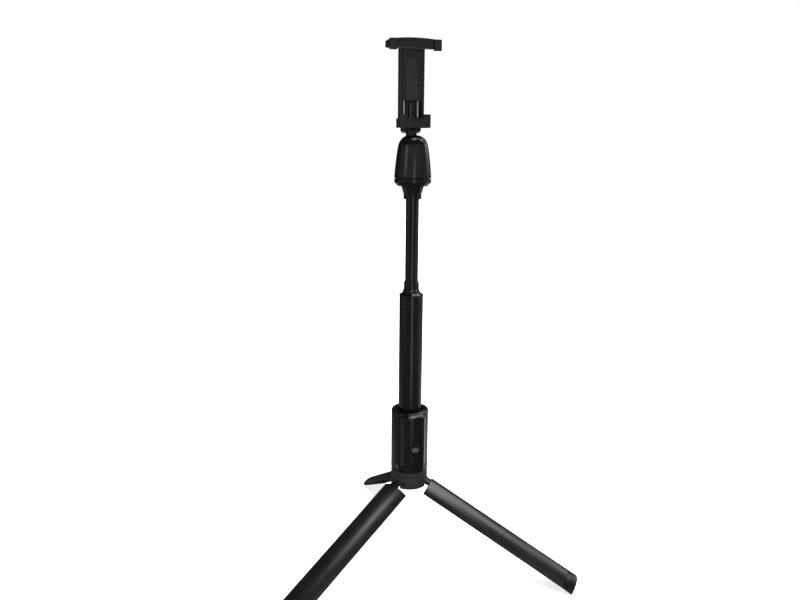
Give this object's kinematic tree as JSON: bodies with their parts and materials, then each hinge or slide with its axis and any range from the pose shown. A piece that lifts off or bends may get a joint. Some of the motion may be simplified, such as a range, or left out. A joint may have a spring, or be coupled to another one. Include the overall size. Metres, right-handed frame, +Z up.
{
  "type": "selfie stick",
  "caption": "Telescopic selfie stick with a sprung phone clamp on a swivel head, a clip-in shutter remote and a grip that splits into folding tripod legs.",
  "frame": {"origin": "on the floor at the centre of the footprint of the spread legs", "axes": "+Z up along the telescope, -Y towards the side with the remote and the open face of the clamp"},
  "size_m": [0.2756, 0.2424, 0.4632],
  "materials": {
    "grip_gloss": "glossy black moulded plastic",
    "tube_satin": "satin black anodised tube",
    "stage_gloss": "glossy black coated steel tube",
    "leg_satin": "fine-grained dark satin coat",
    "cap_plastic": "satin black moulded plastic",
    "clamp_plastic": "satin black moulded plastic",
    "inner_plastic": "matt black acetal",
    "rubber": "matt black rubber",
    "chrome": "polished chrome",
    "steel": "plain steel",
    "board": "green circuit board"
  },
  "bodies": {
    "handle": {"handle_shell": "grip_gloss", "rim_ring": "grip_gloss", "guide_sleeve": "inner_plastic", "leg_hub": "inner_plastic", "hub_screws": "steel", "leg_pin_right": "steel", "leg_pin_left": "steel", "leg_pin_rear": "steel"},
    "remote": {"remote_front": "grip_gloss", "remote_back": "cap_plastic", "remote_board": "board", "coin_cell": "steel", "dome_switch": "steel"},
    "shutter": {"shutter_button": "cap_plastic"},
    "leg_right": {"leg_shell_right": "leg_satin", "foot_cap_right": "cap_plastic", "foot_pad_right": "rubber"},
    "leg_left": {"leg_shell_left": "leg_satin", "foot_cap_left": "cap_plastic", "foot_pad_left": "rubber"},
    "leg_rear": {"leg_shell_rear": "leg_satin", "foot_cap_rear": "cap_plastic", "foot_pad_rear": "rubber"},
    "stage_one": {"main_tube": "tube_satin", "main_tube_stop": "inner_plastic", "main_tube_cap": "grip_gloss"},
    "stage_two": {"stage_two_tube": "stage_gloss", "stage_two_bush": "inner_plastic"},
    "stage_three": {"stage_three_tube": "stage_gloss", "stage_three_bush": "inner_plastic"},
    "top_rod": {"rod_tube": "stage_gloss", "rod_bush": "inner_plastic", "neck_collar": "grip_gloss", "swivel_base": "grip_gloss", "swivel_washer": "inner_plastic", "swivel_screw": "steel"},
    "head": {"head_dome": "grip_gloss", "tilt_pin": "steel", "tilt_washers": "inner_plastic"},
    "clamp": {"tilt_arm": "clamp_plastic", "clamp_housing": "clamp_plastic", "guide_rails": "chrome", "clamp_spring": "steel", "clamp_screws": "steel", "lower_jaw_pad": "rubber"},
    "jaw": {"upper_jaw": "clamp_plastic", "jaw_face_pad": "rubber", "upper_jaw_pad": "rubber"}
  },
  "joints": [
    {"name": "leg_right_fold", "type": "hinge", "parent": "handle", "child": "leg_right", "pos_m": [0.01217, -0.04057, 0.08393], "axis": [0.5, 0.866, 0], "range_deg": [0, 60.98]},
    {"name": "leg_left_fold", "type": "hinge", "parent": "handle", "child": "leg_left", "pos_m": [-0.01217, -0.04057, 0.08393], "axis": [0.5, -0.866, 0], "range_deg": [0, 60.98]},
    {"name": "leg_rear_fold", "type": "hinge", "parent": "handle", "child": "leg_rear", "pos_m": [0, -0.01949, 0.08393], "axis": [-1, 0, 0], "range_deg": [0, 60.98]},
    {"name": "stage_one_slide", "type": "slide", "parent": "handle", "child": "stage_one", "axis": [0, 0, 1], "range_m": [-0.1, 0]},
    {"name": "stage_two_slide", "type": "slide", "parent": "stage_one", "child": "stage_two", "axis": [0, 0, 1], "range_m": [0, 0.112]},
    {"name": "stage_three_slide", "type": "slide", "parent": "stage_two", "child": "stage_three", "axis": [0, 0, 1], "range_m": [0, 0.112]},
    {"name": "top_rod_slide", "type": "slide", "parent": "stage_three", "child": "top_rod", "axis": [0, 0, 1], "range_m": [-0.069, 0.035]},
    {"name": "head_swivel", "type": "hinge", "parent": "top_rod", "child": "head", "pos_m": [0, -0.03354, 0.35667], "axis": [0, 0, 1], "continuous": true},
    {"name": "clamp_tilt", "type": "hinge", "parent": "head", "child": "clamp", "pos_m": [0, -0.02854, 0.37467], "axis": [-1, 0, 0], "range_deg": [0, 90]},
    {"name": "jaw_slide", "type": "slide", "parent": "clamp", "child": "jaw", "axis": [0, 0, 1], "range_m": [0, 0.032], "stiffness_N_per_m": 200, "springref_m": -0.02, "deforming": ["clamp_spring"]},
    {"name": "remote_pull", "type": "slide", "parent": "handle", "child": "remote", "axis": [0, -1, 0], "range_m": [0, 0.025]},
    {"name": "shutter_press", "type": "slide", "parent": "remote", "child": "shutter", "axis": [0, 1, 0], "range_m": [0, 0.0004], "stiffness_N_per_m": 2000, "springref_m": -0.0002}
  ]
}
